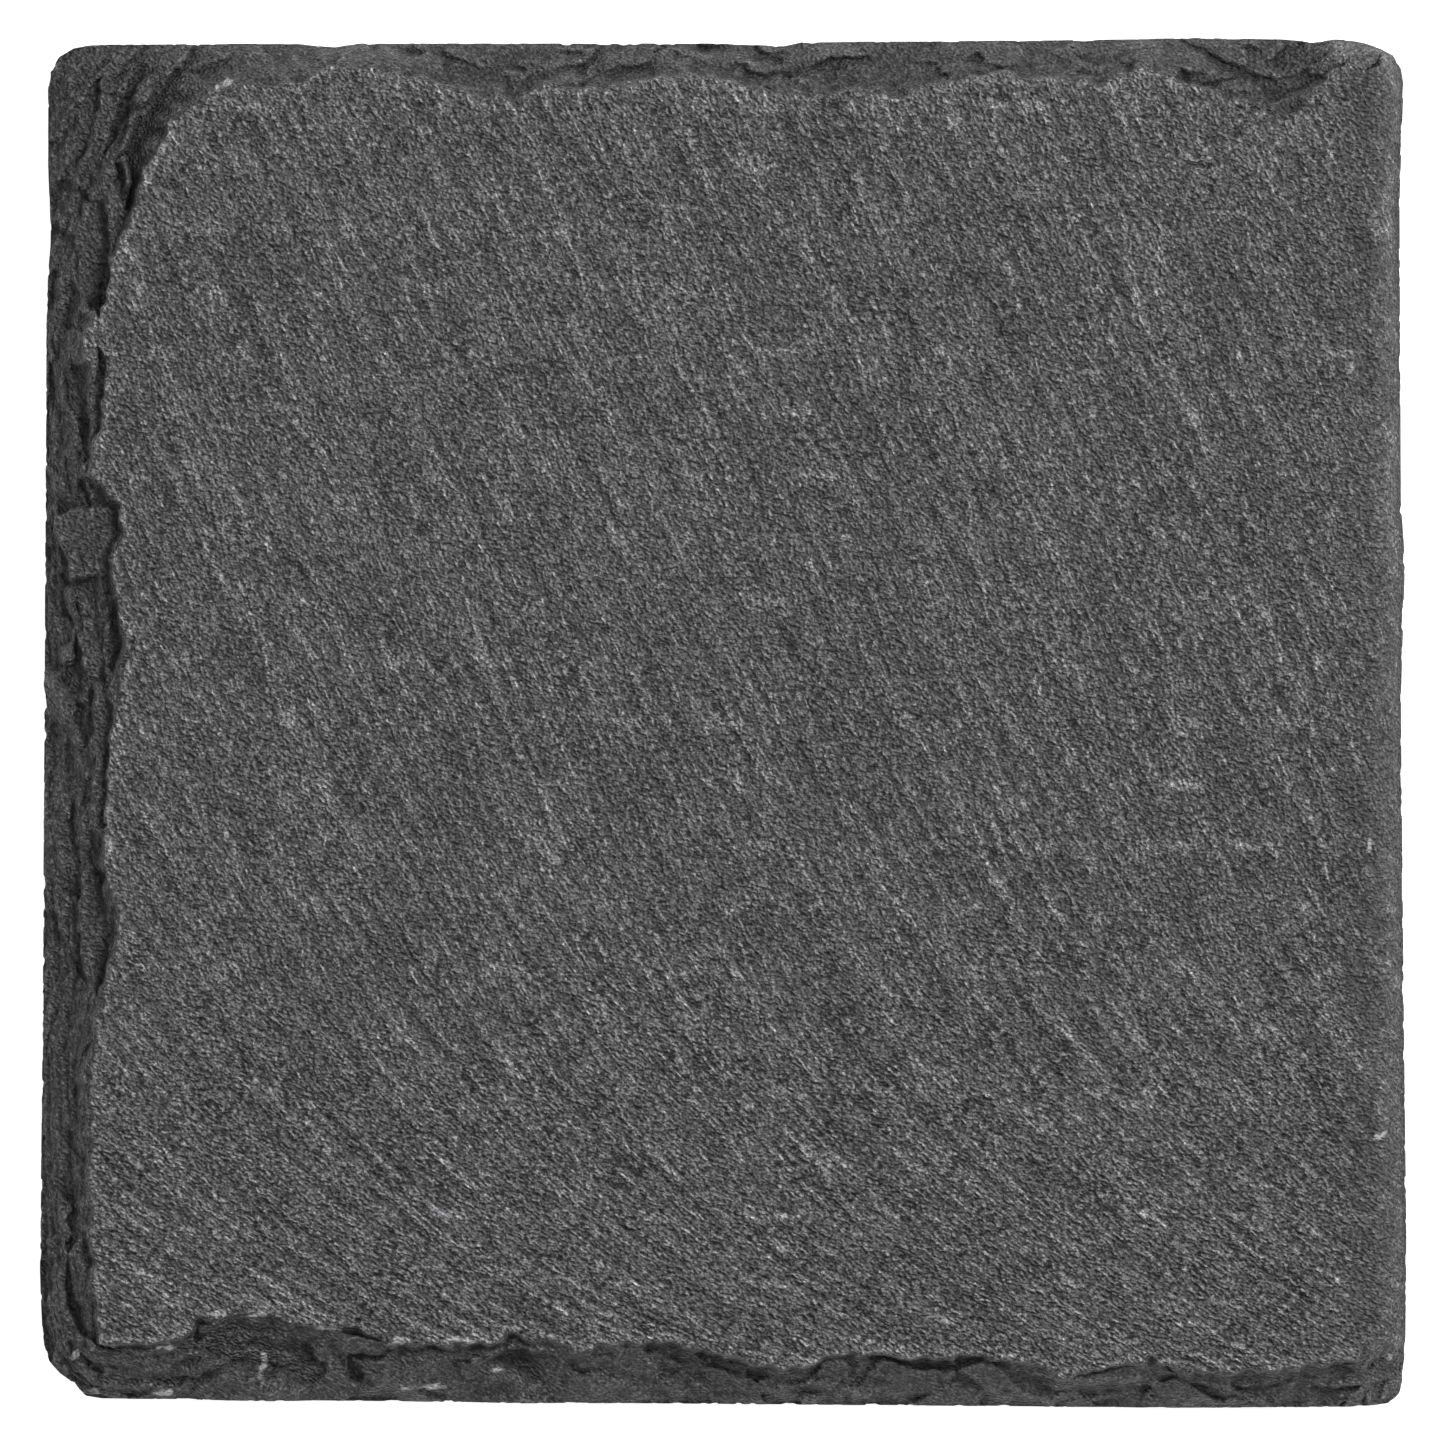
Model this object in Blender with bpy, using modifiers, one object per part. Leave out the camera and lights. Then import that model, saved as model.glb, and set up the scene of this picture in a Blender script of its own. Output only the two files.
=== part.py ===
"""A square slab of split slate with hammered edges, on four stick-on rubber feet.

The stone's face is its natural cleft. Three edges were dressed with a hammer from the back, so they
broke away in steps below the face; the fourth, at +X, is worn round. Each foot is held to the stone by
a disc of foam tape. Units are metres and +Z is up. The origin is on the table, under the middle of the
slab. The front is -Y.
"""

import math

import bmesh
import bpy
from mathutils import Vector, noise

MM = 0.001

# Driving dimensions
HALF_WIDTH = 50.0 * MM  # nominal, along X
HALF_DEPTH = 50.2 * MM  # nominal, along Y
STONE_THICKNESS = 5.5 * MM
FOOT_SPREAD = 36.0 * MM  # from the middle of the slab to a foot's axis, along X and along Y
FOOT_RADIUS = 5.0 * MM
FOOT_TOP_RADIUS = 4.6 * MM
FOOT_HEIGHT = 1.8 * MM
FOOT_ROUND = 0.4 * MM
TAPE_RADIUS = 4.3 * MM
TAPE_THICKNESS = 0.5 * MM
TOUCH_GAP = 0.3 * MM  # between pieces that touch
ROUND_SIDES = 32

TAPE_BASE = FOOT_HEIGHT + TOUCH_GAP
STONE_BASE = TAPE_BASE + TAPE_THICKNESS + TOUCH_GAP
STONE_TOP = STONE_BASE + STONE_THICKNESS

# The slab's plan outline, anticlockwise from the front left corner, in millimetres. The front left
# corner is broken off at a slant, the back left one is blunt, and the back edge has a shallow step.
OUTLINE = (
    (-46.5, -49.5), (-36.0, -49.6), (-16.3, -49.8), (11.5, -50.0), (35.0, -50.2), (46.7, -50.1),
    (48.7, -49.9), (49.6, -49.4), (49.9, -47.6),
    (50.0, -37.9), (49.8, -20.0), (49.6, 1.6), (49.9, 11.9), (49.6, 16.0), (49.5, 38.0),
    (49.8, 46.9), (49.5, 48.2), (48.8, 49.0), (47.2, 49.6), (45.2, 50.0),
    (43.3, 49.8), (41.0, 50.0), (35.0, 50.1), (20.0, 49.9), (5.6, 49.8), (4.5, 49.5), (-0.2, 49.7),
    (-26.6, 49.7), (-28.5, 49.4), (-31.0, 49.7), (-46.6, 49.6),
    (-48.1, 49.2), (-49.1, 48.2), (-49.4, 46.8),
    (-49.4, 41.0), (-49.2, 35.4), (-49.5, 31.5), (-49.7, -4.0), (-49.8, -23.0), (-50.0, -41.0),
    (-49.8, -45.2), (-49.4, -46.7), (-48.3, -47.9), (-47.2, -48.6),
)

# Where the face ends and the broken edge begins, side by side and anticlockwise. Each pair is a place
# along the side and how far the face stands back from the slab's nominal edge, both in millimetres.
FRONT_BREAK = (
    (-45.4, 5.1), (-42.9, 4.8), (-39.8, 5.1), (-38.2, 6.8), (-33.3, 7.1), (-30.0, 6.2), (-26.8, 6.1),
    (-24.5, 4.9), (-17.2, 4.9), (-15.0, 5.7), (-13.3, 5.2), (-10.4, 4.1), (-9.5, 4.6), (-4.1, 5.2),
    (-1.5, 4.4), (2.1, 3.5), (5.8, 3.2), (8.5, 4.3), (14.3, 3.8), (18.0, 4.1), (23.4, 3.2), (24.5, 2.4),
    (31.1, 3.8), (35.8, 2.8), (42.3, 3.1), (46.3, 3.7),
)
RIGHT_BREAK = ((-43.0, 2.8), (-20.0, 3.1), (1.0, 3.3), (12.0, 2.8), (24.0, 2.7), (36.0, 3.1), (45.5, 2.6))
BACK_BREAK = (
    (47.6, 1.9), (45.0, 2.9), (43.6, 4.1), (41.6, 5.8), (39.5, 5.5), (36.8, 4.5), (34.1, 3.6), (30.8, 2.4),
    (27.7, 3.7), (24.5, 3.2), (21.7, 3.5), (20.8, 2.8), (15.2, 3.7), (12.6, 4.6), (9.6, 4.0), (8.5, 4.5),
    (4.5, 4.3), (2.1, 4.1), (-0.8, 3.1), (-3.0, 2.9), (-9.0, 4.2), (-12.4, 3.6), (-14.3, 4.3), (-15.0, 5.2),
    (-19.2, 4.1), (-23.2, 2.9), (-27.3, 2.5), (-29.4, 2.6), (-30.5, 3.5), (-34.5, 3.6), (-37.6, 4.4),
)
LEFT_BREAK = (
    (44.2, 10.3), (42.3, 9.0), (40.1, 7.7), (38.4, 7.5), (36.1, 6.6), (32.7, 5.2), (29.4, 3.9), (27.3, 3.2),
    (22.6, 5.1), (20.2, 4.3), (18.1, 3.8), (16.8, 5.1), (15.9, 6.2), (13.5, 6.2), (12.0, 5.5), (7.1, 6.2),
    (4.1, 6.8), (3.2, 6.2), (-2.2, 5.2), (-6.6, 4.7), (-11.0, 5.1), (-15.0, 6.2), (-19.2, 5.1),
    (-21.9, 4.5), (-26.0, 3.9), (-39.2, 3.9), (-43.0, 4.5),
)

STATION_SPACING = 1.4 * MM  # between neighbouring stations round the stone's edge
BACK_ARRIS = 0.4 * MM  # how far the foot of the edge tucks in
BACK_ARRIS_HEIGHT = 0.5 * MM

# The edge's profile from the outline up to the face: share of the way in, and share of the thickness.
# A broken edge climbs in treads and risers; the worn edge is round.
BROKEN_PROFILE = ((0.05, 0.18), (0.40, 0.36), (0.50, 0.56), (0.76, 0.68), (0.84, 0.88))
WORN_PROFILE = ((0.05, 0.62), (0.30, 0.80), (0.50, 0.88), (0.76, 0.955), (0.88, 0.985))
STEP_WANDER = (0.03, 0.12, 0.12, 0.07, 0.06)  # how far each step strays in and out along the edge
STEP_LENGTH = 7.0 * MM  # over which a step strays
WORN_FROM = 47.0 * MM  # X beyond which the edge is the worn one
WORN_UNTIL = 43.0 * MM  # distance from the middle, along Y, where the worn edge ends


def material(name, colour, roughness):
    made = bpy.data.materials.new(name)
    made.use_nodes = True
    shader = made.node_tree.nodes["Principled BSDF"]
    shader.inputs["Base Color"].default_value = (*colour, 1.0)
    shader.inputs["Roughness"].default_value = roughness
    shader.inputs["Metallic"].default_value = 0.0
    return made


def clear_scene():
    for thing in list(bpy.data.objects):
        bpy.data.objects.remove(thing, do_unlink=True)


def add_object(name, mesh, collection, look, location=(0.0, 0.0, 0.0)):
    thing = bpy.data.objects.new(name, mesh)
    thing.location = location
    if not mesh.materials:
        mesh.materials.append(look)
    collection.objects.link(thing)
    return thing


def ramp(value, low, high):
    """0 below low, 1 above high, and smooth between."""
    share = min(max((value - low) / (high - low), 0.0), 1.0)
    return share * share * (3.0 - 2.0 * share)


class Loop:
    """A closed polygon that can be walked by the distance along it."""

    def __init__(self, points):
        self.points = points
        self.starts = [0.0]
        for here, there in zip(points, points[1:] + points[:1]):
            self.starts.append(self.starts[-1] + (there - here).length)
        self.length = self.starts[-1]

    def at(self, distance):
        distance %= self.length
        for index, end in enumerate(self.starts[1:]):
            if distance <= end:
                here = self.points[index]
                there = self.points[(index + 1) % len(self.points)]
                span = end - self.starts[index]
                return here.lerp(there, (distance - self.starts[index]) / span)

    def nearest(self, point):
        """The distance along the loop of its closest place to a point."""
        best = (math.inf, 0.0)
        for index, here in enumerate(self.points):
            along = self.points[(index + 1) % len(self.points)] - here
            share = min(max((point - here).dot(along) / along.length_squared, 0.0), 1.0)
            off = (here + along * share - point).length
            best = min(best, (off, self.starts[index] + along.length * share))
        return best[1]


def face_edge():
    """The outline of the stone's face, anticlockwise from the front left corner."""
    front = [Vector((s * MM, b * MM - HALF_DEPTH)) for s, b in FRONT_BREAK]
    right = [Vector((HALF_WIDTH - b * MM, s * MM)) for s, b in RIGHT_BREAK]
    back = [Vector((s * MM, HALF_DEPTH - b * MM)) for s, b in BACK_BREAK]
    left = [Vector((b * MM - HALF_WIDTH, s * MM)) for s, b in LEFT_BREAK]
    return front + right + back + left


def stations():
    """Pairs of points, one on the outline and one on the face's edge, that face each other."""
    outline = Loop([Vector(p) * MM for p in OUTLINE])
    face = Loop(face_edge())
    places = [outline.nearest(point) for point in face.points]
    pairs = []
    for index, place in enumerate(places):
        outer_run = (places[(index + 1) % len(places)] - place) % outline.length
        inner_run = face.starts[index + 1] - face.starts[index]
        steps = max(1, math.ceil(max(outer_run, inner_run) / STATION_SPACING))
        for step in range(steps):
            share = step / steps
            outer = outline.at(place + share * outer_run)
            inner = face.at(face.starts[index] + share * inner_run)
            pairs.append((outer, inner))
    return pairs


def edge_profile(outer):
    """The (share in, height) steps of the edge above one point of the outline."""
    worn = ramp(outer.x, WORN_FROM, HALF_WIDTH - 1.0 * MM)
    worn *= 1.0 - ramp(abs(outer.y), WORN_UNTIL, HALF_DEPTH - 2.0 * MM)
    steps = []
    for index, wander in enumerate(STEP_WANDER):
        stray = noise.noise(Vector((outer.x, outer.y, 0.0)) / STEP_LENGTH + Vector((0.0, 0.0, 3.1 * index)))
        inward = BROKEN_PROFILE[index][0] + wander * stray
        height = BROKEN_PROFILE[index][1] + 0.5 * wander * stray
        inward += worn * (WORN_PROFILE[index][0] - inward)
        height += worn * (WORN_PROFILE[index][1] - height)
        steps.append((inward, STONE_BASE + height * STONE_THICKNESS))
    return steps


def stone_rings():
    """The stone's level rings from its back to its face, one point of each for every station."""
    rings = [[] for _ in range(len(STEP_WANDER) + 3)]
    for outer, inner in stations():
        tucked = outer - outer.normalized() * BACK_ARRIS
        column = [(*tucked, STONE_BASE), (*outer, STONE_BASE + BACK_ARRIS_HEIGHT)]
        column += [(*outer.lerp(inner, share), height) for share, height in edge_profile(outer)]
        column.append((*inner, STONE_TOP))
        for ring, point in zip(rings, column):
            ring.append(point)
    return rings


def build_stone(collection):
    """The stone lofted ring by ring, because its outline and its face have unlike shapes."""
    made = bmesh.new()
    rings = [[made.verts.new(point) for point in ring] for ring in stone_rings()]
    count = len(rings[0])
    for lower, upper in zip(rings, rings[1:]):
        for here in range(count):
            there = (here + 1) % count
            made.faces.new((lower[here], lower[there], upper[there], upper[here]))
    made.faces.new(rings[-1])
    made.faces.new(reversed(rings[0]))
    mesh = bpy.data.meshes.new("slate_slab")
    made.to_mesh(mesh)
    made.free()
    add_object("slate_slab", mesh, collection, material("slate", (0.095, 0.096, 0.100), 0.78))


def disc(name, base_radius, top_radius, height):
    """A mesh for a low turned disc that stands on its own origin."""
    made = bmesh.new()
    bmesh.ops.create_cone(
        made, cap_ends=True, segments=ROUND_SIDES, radius1=base_radius, radius2=top_radius, depth=height
    )
    bmesh.ops.translate(made, verts=made.verts, vec=(0.0, 0.0, height / 2.0))
    mesh = bpy.data.meshes.new(name)
    made.to_mesh(mesh)
    made.free()
    mesh.shade_smooth()
    mesh.set_sharp_from_angle(angle=math.radians(35.0))
    return mesh


def build_feet(collection):
    rubber = material("foot_rubber", (0.018, 0.018, 0.019), 0.62)
    foam = material("foam_tape", (0.72, 0.72, 0.69), 0.85)
    foot_mesh = disc("foot", FOOT_RADIUS, FOOT_TOP_RADIUS, FOOT_HEIGHT)
    tape_mesh = disc("tape", TAPE_RADIUS, TAPE_RADIUS, TAPE_THICKNESS)
    for row, y in (("front", -FOOT_SPREAD), ("back", FOOT_SPREAD)):
        for side, x in (("left", -FOOT_SPREAD), ("right", FOOT_SPREAD)):
            foot = add_object(f"foot_{row}_{side}", foot_mesh, collection, rubber, (x, y, 0.0))
            rounding = foot.modifiers.new("rounded_rims", "BEVEL")
            rounding.width = FOOT_ROUND
            rounding.segments = 2
            rounding.limit_method = "ANGLE"
            add_object(f"tape_{row}_{side}", tape_mesh, collection, foam, (x, y, TAPE_BASE))


def main():
    clear_scene()
    collection = bpy.data.collections.new("slate_slab_on_feet")
    bpy.context.scene.collection.children.link(collection)
    build_stone(collection)
    build_feet(collection)


main()
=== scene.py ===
"""The looks of the slate slab: its cleft face, its broken edges, and its rubber feet, seen from above.

Shapes are worked out in millimetres, from the CAD stone, and turned into metres when a mesh is made.
"""

import math

import bpy
import numpy as np
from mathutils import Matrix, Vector


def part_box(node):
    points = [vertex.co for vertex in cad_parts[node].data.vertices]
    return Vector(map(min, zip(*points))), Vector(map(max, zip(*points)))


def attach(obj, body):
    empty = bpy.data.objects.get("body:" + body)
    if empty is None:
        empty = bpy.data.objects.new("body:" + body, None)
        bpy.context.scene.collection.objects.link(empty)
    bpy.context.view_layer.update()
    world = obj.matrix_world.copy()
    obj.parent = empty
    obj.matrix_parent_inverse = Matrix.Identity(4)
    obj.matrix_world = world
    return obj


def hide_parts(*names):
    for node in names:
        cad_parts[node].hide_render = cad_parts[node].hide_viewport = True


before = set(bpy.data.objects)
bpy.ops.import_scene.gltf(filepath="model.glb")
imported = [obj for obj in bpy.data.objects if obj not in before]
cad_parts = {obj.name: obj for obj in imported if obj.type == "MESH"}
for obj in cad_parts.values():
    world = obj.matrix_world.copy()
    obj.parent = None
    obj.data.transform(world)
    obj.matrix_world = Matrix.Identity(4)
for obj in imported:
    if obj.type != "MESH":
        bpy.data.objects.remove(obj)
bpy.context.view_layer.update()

MM = 0.001
stone_low, stone_high = (np.array(corner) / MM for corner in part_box("slate_slab"))
STONE_BASE, STONE_TOP = stone_low[2], stone_high[2]
THICKNESS = STONE_TOP - STONE_BASE


# ---------------------------------------------------------------- camera, floor and light

VIEW_WIDTH = 105.9  # of the frame, at the height of the stone's face
CAMERA_HEIGHT = 1200.0
FLOOR_WIDTH = 60.0  # in metres, so that in low views the floor reaches almost to the horizon


def add_camera():
    data = bpy.data.cameras.new("camera")
    data.sensor_width = 36.0
    data.lens = data.sensor_width * CAMERA_HEIGHT / VIEW_WIDTH
    data.clip_start = 0.01
    data.clip_end = 100.0
    camera = bpy.data.objects.new("camera", data)
    camera.location = (0.0, 0.0, (CAMERA_HEIGHT + STONE_BASE) * MM)
    bpy.context.scene.collection.objects.link(camera)
    bpy.context.scene.camera = camera


def area_light(name, place, size, power):
    """A square softbox at a place in metres, turned to the slab."""
    data = bpy.data.lights.new(name, "AREA")
    data.shape = "SQUARE"
    data.size = size
    data.energy = power
    light = bpy.data.objects.new(name, data)
    light.location = place
    light.rotation_euler = (-Vector(place)).to_track_quat("-Z", "Y").to_euler()
    bpy.context.scene.collection.objects.link(light)


def add_studio():
    area_light("key_light", (0.43, 0.34, 0.70), 0.34, 6.4)
    area_light("top_light", (-0.36, 0.0, 0.90), 0.90, 2.3)
    world = bpy.data.worlds.new("studio")
    world.use_nodes = True
    sky = world.node_tree.nodes["Background"]
    sky.inputs["Color"].default_value = (1.0, 1.0, 1.0, 1.0)
    sky.inputs["Strength"].default_value = 0.20
    bpy.context.scene.world = world
    bpy.context.scene.view_settings.view_transform = "Standard"


def add_floor():
    bpy.ops.mesh.primitive_plane_add(size=FLOOR_WIDTH, location=(0.0, 0.0, 0.0))
    floor = bpy.context.object
    floor.name = "floor"
    look = bpy.data.materials.new("floor_white")
    look.use_nodes = True
    shader = look.node_tree.nodes["Principled BSDF"]
    shader.inputs["Base Color"].default_value = (0.86, 0.86, 0.86, 1.0)
    shader.inputs["Roughness"].default_value = 0.9
    shader.inputs["Emission Color"].default_value = (1.0, 1.0, 1.0, 1.0)
    shader.inputs["Emission Strength"].default_value = 0.80
    floor.data.materials.append(look)


add_camera()
add_studio()
add_floor()


# ---------------------------------------------------------------- fields over the slab's plan

FIELD_HALF = 56.0  # the fields reach this far from the middle
FINE = 0.125  # pitch of the noise fields
COARSE = 0.25  # pitch of the distance fields
FINE_COUNT = int(2 * FIELD_HALF / FINE)
COARSE_COUNT = int(2 * FIELD_HALF / COARSE)
DIRECTIONS = 18  # in half a turn, for noise that follows a direction
BORDER = 15.0  # distances are only worked out this close to the slab's sides
FEATURE_REACH = 4.0  # a ledge, rib, step or crack changes nothing beyond this distance


def field_axes(count):
    axis = (np.arange(count) + 0.5) * (2 * FIELD_HALF / count) - FIELD_HALF
    return np.meshgrid(axis, axis)


def sample(field, x, y):
    """The field's value at points, by bilinear interpolation; the field repeats beyond its ends."""
    count = len(field)
    scale = count / (2 * FIELD_HALF)
    column = ((x + FIELD_HALF) * scale - 0.5) % count
    row = ((y + FIELD_HALF) * scale - 0.5) % count
    left, low = column.astype(int) % count, row.astype(int) % count
    across, up = column - np.floor(column), row - np.floor(row)
    right, high = (left + 1) % count, (low + 1) % count
    lower = field[low, left] * (1 - across) + field[low, right] * across
    upper = field[high, left] * (1 - across) + field[high, right] * across
    return lower * (1 - up) + upper * up


def smooth(value, low, high):
    """0 below low, 1 above high, and smooth between."""
    share = np.clip((value - low) / (high - low), 0.0, 1.0)
    return share * share * (3.0 - 2.0 * share)


def waves():
    turn = 2 * math.pi * np.fft.fftfreq(FINE_COUNT, FINE)
    return np.meshgrid(turn, turn)


def steered(angle, across, along, seed):
    """Noise in streaks that follow the angle field, about 4.4 times across apart, with a spread of 1."""
    white = np.fft.fft2(np.random.default_rng(seed).standard_normal((FINE_COUNT, FINE_COUNT)))
    wave_x, wave_y = waves()
    made = np.zeros((FINE_COUNT, FINE_COUNT))
    for index in range(DIRECTIONS):
        heading = math.pi * index / DIRECTIONS
        off = np.abs((angle - heading + math.pi / 2) % math.pi - math.pi / 2)
        weight = np.clip(1.0 - off * DIRECTIONS / math.pi, 0.0, 1.0)
        if not weight.any():
            continue
        lengthwise = (wave_x * math.cos(heading) + wave_y * math.sin(heading)) * along
        sideways = (wave_y * math.cos(heading) - wave_x * math.sin(heading)) * across
        keep = sideways**2 * np.exp(-0.5 * (sideways**2 + lengthwise**2))
        layer = np.fft.ifft2(white * keep).real
        made += weight * layer / layer.std()
    return made


def cloudy(size, seed):
    """Soft noise without direction, in blotches of about that size, with a spread of 1."""
    white = np.fft.fft2(np.random.default_rng(seed).standard_normal((FINE_COUNT, FINE_COUNT)))
    wave_x, wave_y = waves()
    reach = (wave_x**2 + wave_y**2) * (0.35 * size) ** 2
    made = np.fft.ifft2(white * np.exp(-0.5 * reach)).real
    return made / made.std()


def blurred(field, reach):
    wave_x, wave_y = waves()
    return np.fft.ifft2(np.fft.fft2(field) * np.exp(-0.5 * reach**2 * (wave_x**2 + wave_y**2))).real


def level_edges(points, triangles, height, lone):
    """The edges of a mesh that lie at one height: all of them, or only those round a flat region's rim."""
    level = np.abs(points[:, 2] - height) < 0.01
    if lone:
        triangles = triangles[level[triangles].all(axis=1)]
    edges = np.concatenate([triangles[:, [0, 1]], triangles[:, [1, 2]], triangles[:, [2, 0]]])
    edges = np.sort(edges[level[edges].all(axis=1)], axis=1)
    edges, uses = np.unique(edges, axis=0, return_counts=True)
    if lone:
        edges = edges[uses == 1]
    return points[edges][:, :, :2]


def cad_stone():
    """The CAD stone's points in millimetres, joined where they coincide, and its triangles."""
    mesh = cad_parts["slate_slab"].data
    points = np.empty(len(mesh.vertices) * 3)
    mesh.vertices.foreach_get("co", points)
    mesh.calc_loop_triangles()
    corners = np.empty(len(mesh.loop_triangles) * 3, int)
    mesh.loop_triangles.foreach_get("vertices", corners)
    joined, index = np.unique(np.round(points.reshape(-1, 3) / MM, 3), axis=0, return_inverse=True)
    return joined, index.reshape(-1)[corners].reshape(-1, 3)


def distance_to(edges, x, y):
    """How far each point is from the nearest of the edges."""
    best = np.full(x.shape, np.inf)
    for start, end in edges:
        along = end - start
        share = ((x - start[0]) * along[0] + (y - start[1]) * along[1]) / (along @ along)
        share = np.clip(share, 0.0, 1.0)
        off = (x - start[0] - share * along[0]) ** 2 + (y - start[1] - share * along[1]) ** 2
        np.minimum(best, off, out=best)
    return np.sqrt(best)


def inside(edges, x, y):
    """True for points within the closed outline that the edges make."""
    found = np.zeros(x.shape, bool)
    for start, end in edges:
        if start[1] == end[1]:
            continue
        spans = (start[1] > y) != (end[1] > y)
        crossing = start[0] + (y - start[1]) * (end[0] - start[0]) / (end[1] - start[1])
        found ^= spans & (x < crossing)
    return found


def signed_distance(edges):
    """A coarse field of the distance from an outline, positive inside it and cut off at BORDER."""
    x, y = field_axes(COARSE_COUNT)
    near = np.maximum(np.abs(x), np.abs(y)) > stone_high[0] - BORDER
    made = np.full(x.shape, BORDER)
    off = distance_to(edges, x[near], y[near])
    made[near] = np.where(inside(edges, x[near], y[near]), off, -off)
    return made


def side_of(edges, x, y):
    """1 for points on the left of the nearest edge, and -1 on its right."""
    best = np.full(x.shape, np.inf)
    side = np.ones(x.shape)
    for edge in edges:
        off = distance_to([edge], x, y)
        along = edge[1] - edge[0]
        cross = along[0] * (y - edge[0][1]) - along[1] * (x - edge[0][0])
        nearer = off < best
        side[nearer] = np.sign(cross[nearer])
        best = np.minimum(best, off)
    return side


def ordered_outline():
    """The outline's points, anticlockwise from the front left corner."""
    loop = np.unique(np.round(outline_edges.reshape(-1, 2), 4), axis=0)
    turn = np.arctan2(loop[:, 1], loop[:, 0])
    return loop[np.argsort((turn + 0.75 * math.pi) % (2 * math.pi))]


points, triangles = cad_stone()
ARRIS_HEIGHT = np.unique(points[:, 2])[1]  # where the CAD stone is widest, just above its back
outline_edges = level_edges(points, triangles, ARRIS_HEIGHT, lone=False)
face_edges = level_edges(points, triangles, STONE_TOP, lone=True)
from_outline = signed_distance(outline_edges)
from_face_edge = signed_distance(face_edges)


# ---------------------------------------------------------------- the stone's relief

RELIEF_ROOM = 0.40  # kept free above the face's mean height for its relief
ROOM = THICKNESS - RELIEF_ROOM  # the face's mean height above the stone's back
WORN_FROM = 46.0  # X beyond which the edge is worn round and not broken
SCAR_SPACING = 3.2  # between the hammer's blows round the edge
SCAR_REACH = 11.0  # a scar cuts nothing beyond this distance
FACETS = 270  # flat facets in the broken edge
FACET_REACH = 5.0  # a facet is looked for no farther off than this
FACET_LENGTH = 2.4  # a facet's length for a width of 1
EDGE_FOOT = 0.12  # the broken edge's mean height at the outline, as a share of ROOM
EDGE_RISE = 0.80  # and what it gains on its way in
EDGE_SPREAD = 0.5  # how far a facet may lie from that mean slope
CRACK_HALF_WIDTH = 0.13

# Flat places in the broken edge, where a layer ends: how far below the face, how rough, and the corners.
LEDGES = (
    (2.0, 0.08, ((-41.2, 48.3), (-40.0, 48.0), (-40.9, 46.2), (-42.7, 43.2), (-43.5, 41.6),
                 (-44.3, 41.0), (-43.0, 43.5), (-41.4, 46.8))),
    (1.9, 0.06, ((-44.3, 41.0), (-43.8, 40.9), (-43.4, 38.9), (-43.9, 37.6), (-44.5, 39.5))),
    (3.0, 0.08, ((-43.0, 48.0), (-41.9, 48.2), (-44.2, 43.2), (-45.2, 41.2), (-45.0, 43.0))),
    (3.1, 0.10, ((-46.4, 46.6), (-45.2, 47.4), (-46.0, 43.4), (-47.2, 40.6), (-47.3, 43.4))),
    (2.4, 0.10, ((-46.8, 38.0), (-45.3, 38.4), (-44.8, 35.0), (-44.9, 31.0), (-45.6, 29.6),
                 (-46.6, 31.2), (-47.4, 35.0))),
    (1.0, 0.05, ((-45.6, 27.6), (-44.9, 26.6), (-45.3, 22.6), (-46.1, 20.0), (-46.4, 22.4))),
    (1.25, 0.05, ((-48.7, 15.1), (-46.9, 15.9), (-44.4, 15.9), (-43.9, 15.1), (-44.5, 13.0), (-44.9, 10.8),
                  (-47.7, 10.4), (-47.9, 12.2), (-48.9, 13.9))),
    (1.9, 0.16, ((-47.3, 6.7), (-45.1, 5.7), (-45.0, 2.9), (-46.7, 3.3))),
    (1.0, 0.07, ((-46.0, 3.0), (-44.6, 2.0), (-44.8, -3.5), (-45.0, -7.7), (-46.3, -7.9), (-45.9, -2.2))),
    (1.7, 0.10, ((-46.6, -10.0), (-45.2, -11.0), (-44.9, -17.0), (-45.4, -20.0), (-46.8, -18.0),
                 (-47.2, -13.0))),
    (1.5, 0.20, ((-45.2, 9.0), (-44.2, 9.0), (-43.9, 5.5), (-44.4, 3.6), (-45.0, 4.6), (-44.8, 7.0))),
)

# Steep faces: how far below the cleft face their top and foot are, and the lines of both.
RISERS = (
    (0.2, 2.7, ((-36.9, 46.2), (-39.4, 44.7), (-41.2, 41.9), (-42.1, 40.1), (-43.0, 37.4)),
     ((-40.0, 48.0), (-40.9, 46.2), (-42.7, 43.2), (-43.5, 41.6), (-43.2, 39.5), (-43.8, 37.4))),
    (0.2, 1.5, ((-38.2, -44.1), (-35.9, -43.2), (-32.4, -43.4), (-29.0, -44.3), (-24.6, -45.3)),
     ((-38.6, -45.2), (-36.0, -44.4), (-32.2, -44.8), (-28.6, -45.8), (-24.6, -46.2))),
)

# Ribs that stand up from the broken edge: how far below the face, half their width, and the crest's line.
RIBS = (
    (2.1, 0.5, ((-47.6, 9.6), (-47.3, 7.0), (-47.7, 4.6))),
    (2.2, 0.8, ((-49.0, 2.7), (-47.6, 0.4), (-46.5, -2.6), (-46.9, -6.4))),
    (1.4, 1.2, ((-44.9, -45.9), (-40.1, -45.9), (-38.0, -46.4), (-36.9, -47.4), (-35.0, -48.5),
                (-33.0, -48.9))),
    (1.9, 1.4, ((-20.5, -45.6), (-17.0, -47.0), (-14.6, -48.6))),
    (2.0, 1.4, ((3.0, -46.0), (6.5, -46.4), (9.0, -47.8))),
    (1.8, 1.3, ((24.5, -47.4), (28.0, -46.8), (31.5, -47.6))),
    (1.6, 1.2, ((-22.0, 47.6), (-18.0, 46.9), (-14.0, 47.2))),
    (1.8, 1.2, ((-8.0, 46.6), (-4.0, 47.6), (1.0, 47.3))),
    (1.6, 1.2, ((18.0, 47.4), (22.0, 46.9), (26.0, 47.6))),
)

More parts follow.
